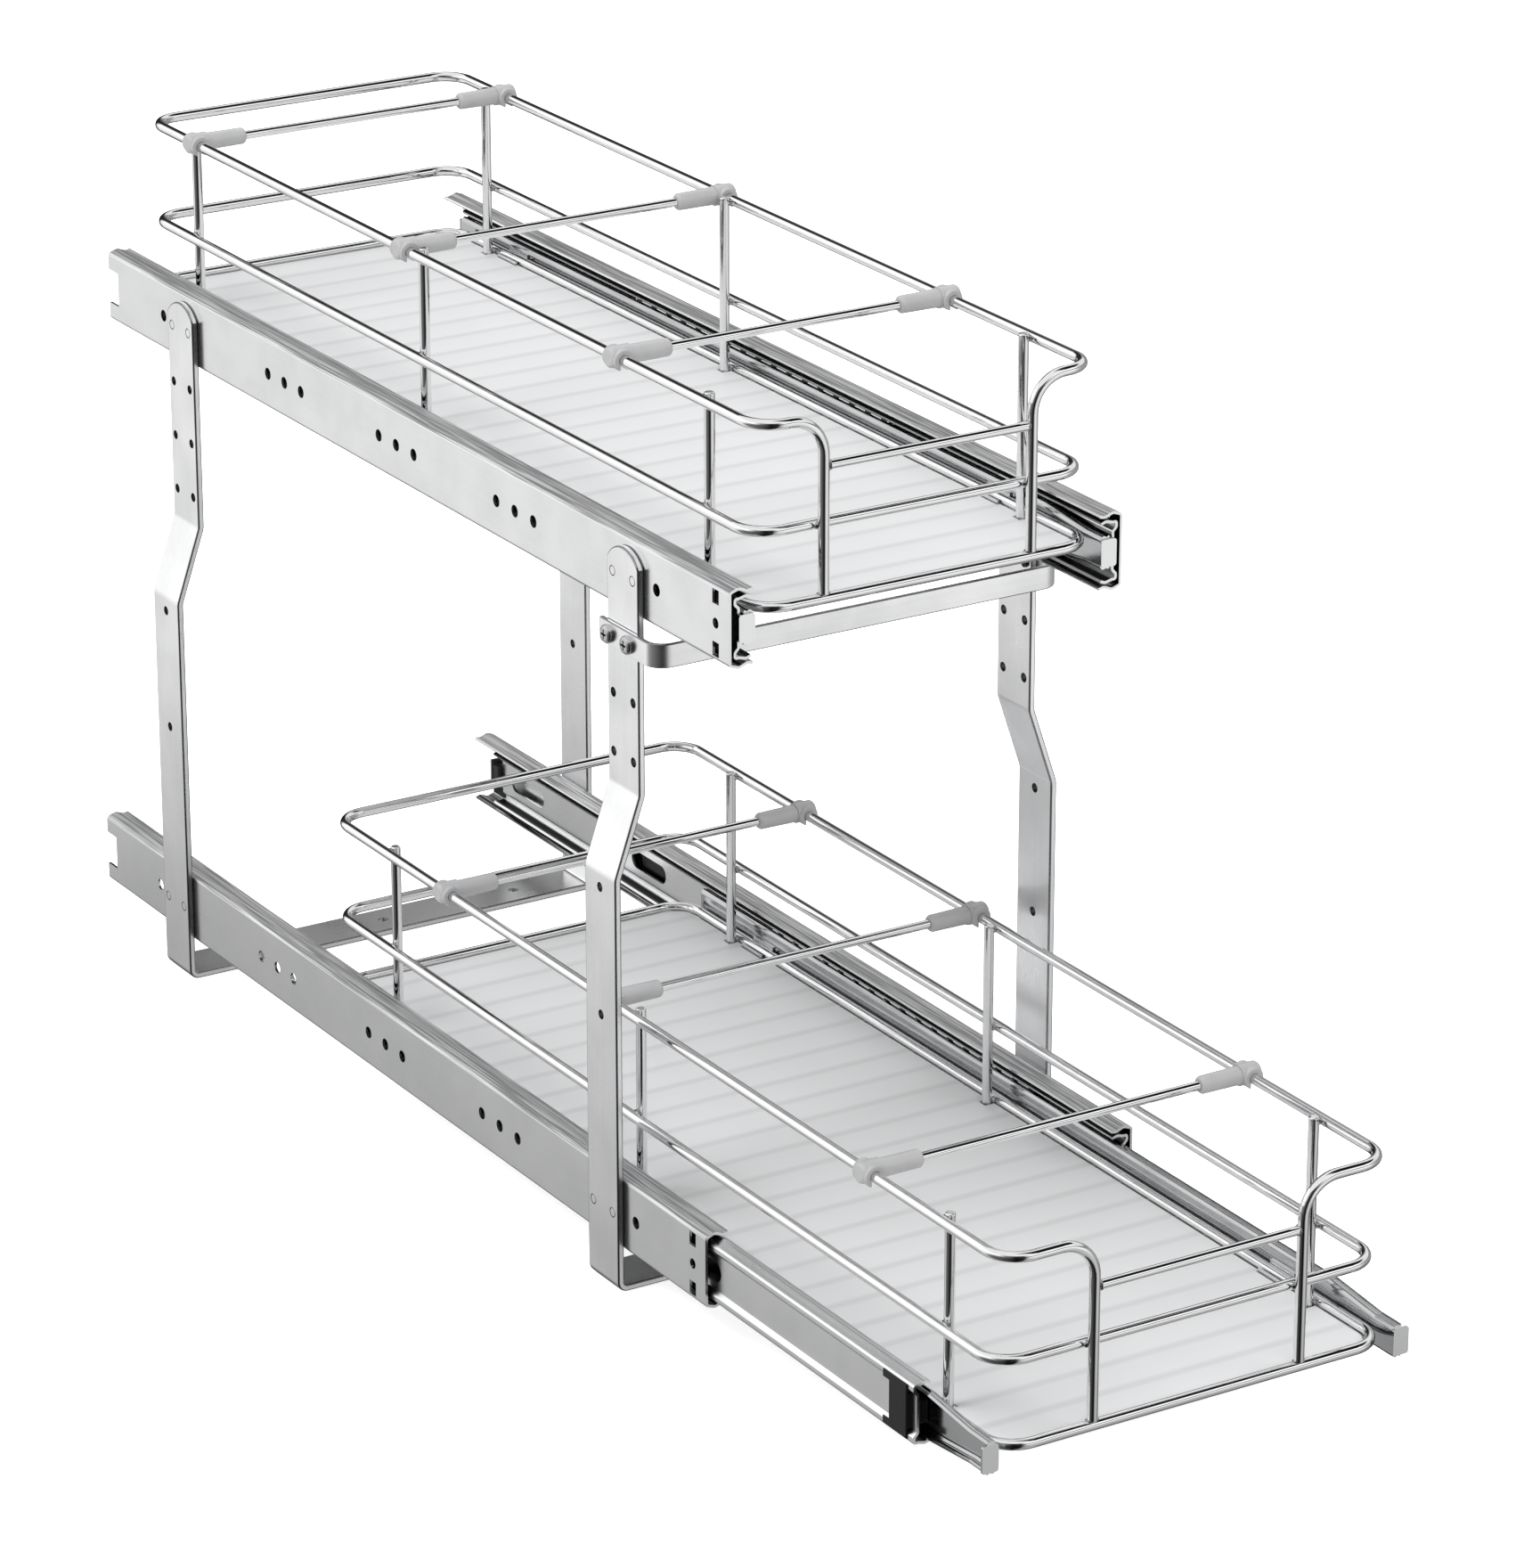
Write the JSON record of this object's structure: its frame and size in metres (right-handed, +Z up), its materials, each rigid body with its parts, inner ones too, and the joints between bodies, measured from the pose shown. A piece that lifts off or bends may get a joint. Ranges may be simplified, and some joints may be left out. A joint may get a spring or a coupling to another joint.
{
  "type": "pull-out cabinet organizer",
  "caption": "Tiered pull-out cabinet organizer: strap-steel frame, full-extension ball slides, chrome wire drawers with plastic mats and clip-on dividers.",
  "frame": {"origin": "on the cabinet floor, in the middle of the floor screw pattern", "axes": "+X to the right seen from the front, +Y from the front to the back, drawers pull out towards -Y, +Z up"},
  "size_m": [0.22, 0.7605, 0.403],
  "materials": {
    "zinc_rail": "bright zinc plate",
    "zinc_strap": "satin zinc plate",
    "chrome_wire": "polished chrome plate",
    "ball_steel": "oiled steel",
    "screw_steel": "bright zinc plate",
    "mat_plastic": "frosted",
    "clip_plastic": "fine satin",
    "black_plastic": "glossy",
    "bumper_rubber": "smooth"
  },
  "bodies": {
    "frame": {"front_frame_strap": "zinc_strap", "rear_frame_strap": "zinc_strap", "front_crossbar": "zinc_strap", "crossbar_screws": "screw_steel", "frame_rivets": "zinc_strap", "rail_bumpers": "bumper_rubber", "upper_left_outer_rail": "zinc_rail", "upper_right_outer_rail": "zinc_rail", "lower_left_outer_rail": "zinc_rail", "lower_right_outer_rail": "zinc_rail"},
    "upper_drawer": {"upper_left_inner_rail": "zinc_rail", "upper_right_inner_rail": "zinc_rail", "upper_top_rail_wire": "chrome_wire", "upper_middle_ring": "chrome_wire", "upper_bottom_ring": "chrome_wire", "upper_side_posts": "chrome_wire", "upper_front_cross_wire": "chrome_wire", "upper_floor_wires": "chrome_wire", "upper_mat": "mat_plastic", "upper_rail_clips": "zinc_rail"},
    "upper_left_mid": {"upper_left_mid_rail": "zinc_rail", "upper_left_mid_latch": "black_plastic"},
    "upper_left_outer_cage": {"upper_left_outer_ball_cage": "ball_steel"},
    "upper_left_inner_cage": {"upper_left_inner_ball_cage": "ball_steel"},
    "upper_right_mid": {"upper_right_mid_rail": "zinc_rail", "upper_right_mid_latch": "black_plastic"},
    "upper_right_outer_cage": {"upper_right_outer_ball_cage": "ball_steel"},
    "upper_right_inner_cage": {"upper_right_inner_ball_cage": "ball_steel"},
    "upper_divider_1": {"upper_divider_rod_1": "chrome_wire", "upper_divider_clips_1": "clip_plastic"},
    "upper_divider_2": {"upper_divider_rod_2": "chrome_wire", "upper_divider_clips_2": "clip_plastic"},
    "upper_divider_3": {"upper_divider_rod_3": "chrome_wire", "upper_divider_clips_3": "clip_plastic"},
    "lower_drawer": {"lower_left_inner_rail": "zinc_rail", "lower_right_inner_rail": "zinc_rail", "lower_top_rail_wire": "chrome_wire", "lower_middle_ring": "chrome_wire", "lower_bottom_ring": "chrome_wire", "lower_side_posts": "chrome_wire", "lower_front_cross_wire": "chrome_wire", "lower_floor_wires": "chrome_wire", "lower_mat": "mat_plastic", "lower_rail_clips": "zinc_rail"},
    "lower_left_mid": {"lower_left_mid_rail": "zinc_rail", "lower_left_mid_latch": "black_plastic"},
    "lower_left_outer_cage": {"lower_left_outer_ball_cage": "ball_steel"},
    "lower_left_inner_cage": {"lower_left_inner_ball_cage": "ball_steel"},
    "lower_right_mid": {"lower_right_mid_rail": "zinc_rail", "lower_right_mid_latch": "black_plastic"},
    "lower_right_outer_cage": {"lower_right_outer_ball_cage": "ball_steel"},
    "lower_right_inner_cage": {"lower_right_inner_ball_cage": "ball_steel"},
    "lower_divider_1": {"lower_divider_rod_1": "chrome_wire", "lower_divider_clips_1": "clip_plastic"},
    "lower_divider_2": {"lower_divider_rod_2": "chrome_wire", "lower_divider_clips_2": "clip_plastic"},
    "lower_divider_3": {"lower_divider_rod_3": "chrome_wire", "lower_divider_clips_3": "clip_plastic"}
  },
  "joints": [
    {"name": "upper_drawer_slide", "type": "slide", "parent": "frame", "child": "upper_drawer", "axis": [0, -1, 0], "range_m": [0, 0.55818]},
    {"name": "upper_left_mid_slide", "type": "slide", "parent": "frame", "child": "upper_left_mid", "axis": [0, -1, 0], "range_m": [0, 0.24319]},
    {"name": "upper_left_outer_cage_roll", "type": "slide", "parent": "frame", "child": "upper_left_outer_cage", "axis": [0, -1, 0], "range_m": [0, 0.1216]},
    {"name": "upper_left_inner_cage_roll", "type": "slide", "parent": "frame", "child": "upper_left_inner_cage", "axis": [0, -1, 0], "range_m": [0, 0.40069]},
    {"name": "upper_right_mid_slide", "type": "slide", "parent": "frame", "child": "upper_right_mid", "axis": [0, -1, 0], "range_m": [0, 0.24319]},
    {"name": "upper_right_outer_cage_roll", "type": "slide", "parent": "frame", "child": "upper_right_outer_cage", "axis": [0, -1, 0], "range_m": [0, 0.1216]},
    {"name": "upper_right_inner_cage_roll", "type": "slide", "parent": "frame", "child": "upper_right_inner_cage", "axis": [0, -1, 0], "range_m": [0, 0.40069]},
    {"name": "lower_right_mid_slide", "type": "slide", "parent": "frame", "child": "lower_right_mid", "axis": [0, -1, 0], "range_m": [0, 0.24318]},
    {"name": "lower_drawer_slide", "type": "slide", "parent": "lower_right_mid", "child": "lower_drawer", "axis": [0, -1, 0], "range_m": [-0.2008, 0.1142]},
    {"name": "lower_left_mid_slide", "type": "slide", "parent": "frame", "child": "lower_left_mid", "axis": [0, -1, 0], "range_m": [-0.15503, 0.08817]},
    {"name": "lower_right_outer_cage_roll", "type": "slide", "parent": "frame", "child": "lower_right_outer_cage", "axis": [0, -1, 0], "range_m": [0, 0.1216]},
    {"name": "lower_right_inner_cage_roll", "type": "slide", "parent": "lower_right_mid", "child": "lower_right_inner_cage", "axis": [0, -1, 0], "range_m": [-0.10041, 0.05711]},
    {"name": "lower_left_outer_cage_roll", "type": "slide", "parent": "frame", "child": "lower_left_outer_cage", "axis": [0, -1, 0], "range_m": [-0.07752, 0.04409]},
    {"name": "lower_left_inner_cage_roll", "type": "slide", "parent": "lower_right_outer_cage", "child": "lower_left_inner_cage", "axis": [0, -1, 0], "range_m": [-0.17792, 0.10119]},
    {"name": "upper_divider_1_slide", "type": "slide", "parent": "upper_drawer", "child": "upper_divider_1", "axis": [0, -1, 0], "range_m": [-0.0012, 0.092]},
    {"name": "upper_divider_2_slide", "type": "slide", "parent": "upper_drawer", "child": "upper_divider_2", "axis": [0, -1, 0], "range_m": [-0.092, 0.0007]},
    {"name": "upper_divider_3_slide", "type": "slide", "parent": "upper_drawer", "child": "upper_divider_3", "axis": [0, -1, 0], "range_m": [-0.1657, 0.057]},
    {"name": "lower_divider_1_slide", "type": "slide", "parent": "lower_drawer", "child": "lower_divider_1", "axis": [0, -1, 0], "range_m": [-0.0479, 0.0642]},
    {"name": "lower_divider_2_slide", "type": "slide", "parent": "lower_drawer", "child": "lower_divider_2", "axis": [0, -1, 0], "range_m": [-0.0642, 0.0098]},
    {"name": "lower_divider_3_slide", "type": "slide", "parent": "lower_drawer", "child": "lower_divider_3", "axis": [0, -1, 0], "range_m": [-0.178, 0.0447]}
  ],
  "couplings": [
    {"joint": "upper_left_mid_slide", "follows": "upper_drawer_slide", "ratio": 0.43567},
    {"joint": "upper_left_outer_cage_roll", "follows": "upper_drawer_slide", "ratio": 0.21783},
    {"joint": "upper_left_inner_cage_roll", "follows": "upper_drawer_slide", "ratio": 0.71783},
    {"joint": "upper_right_mid_slide", "follows": "upper_drawer_slide", "ratio": 0.43567},
    {"joint": "upper_right_outer_cage_roll", "follows": "upper_drawer_slide", "ratio": 0.21783},
    {"joint": "upper_right_inner_cage_roll", "follows": "upper_drawer_slide", "ratio": 0.71783},
    {"joint": "lower_left_mid_slide", "follows": "lower_drawer_slide", "ratio": 0.772},
    {"joint": "lower_right_outer_cage_roll", "follows": "lower_right_mid_slide", "ratio": 0.5},
    {"joint": "lower_right_inner_cage_roll", "follows": "lower_drawer_slide", "ratio": 0.5},
    {"joint": "lower_left_outer_cage_roll", "follows": "lower_drawer_slide", "ratio": 0.386},
    {"joint": "lower_left_inner_cage_roll", "follows": "lower_drawer_slide", "ratio": 0.886}
  ]
}
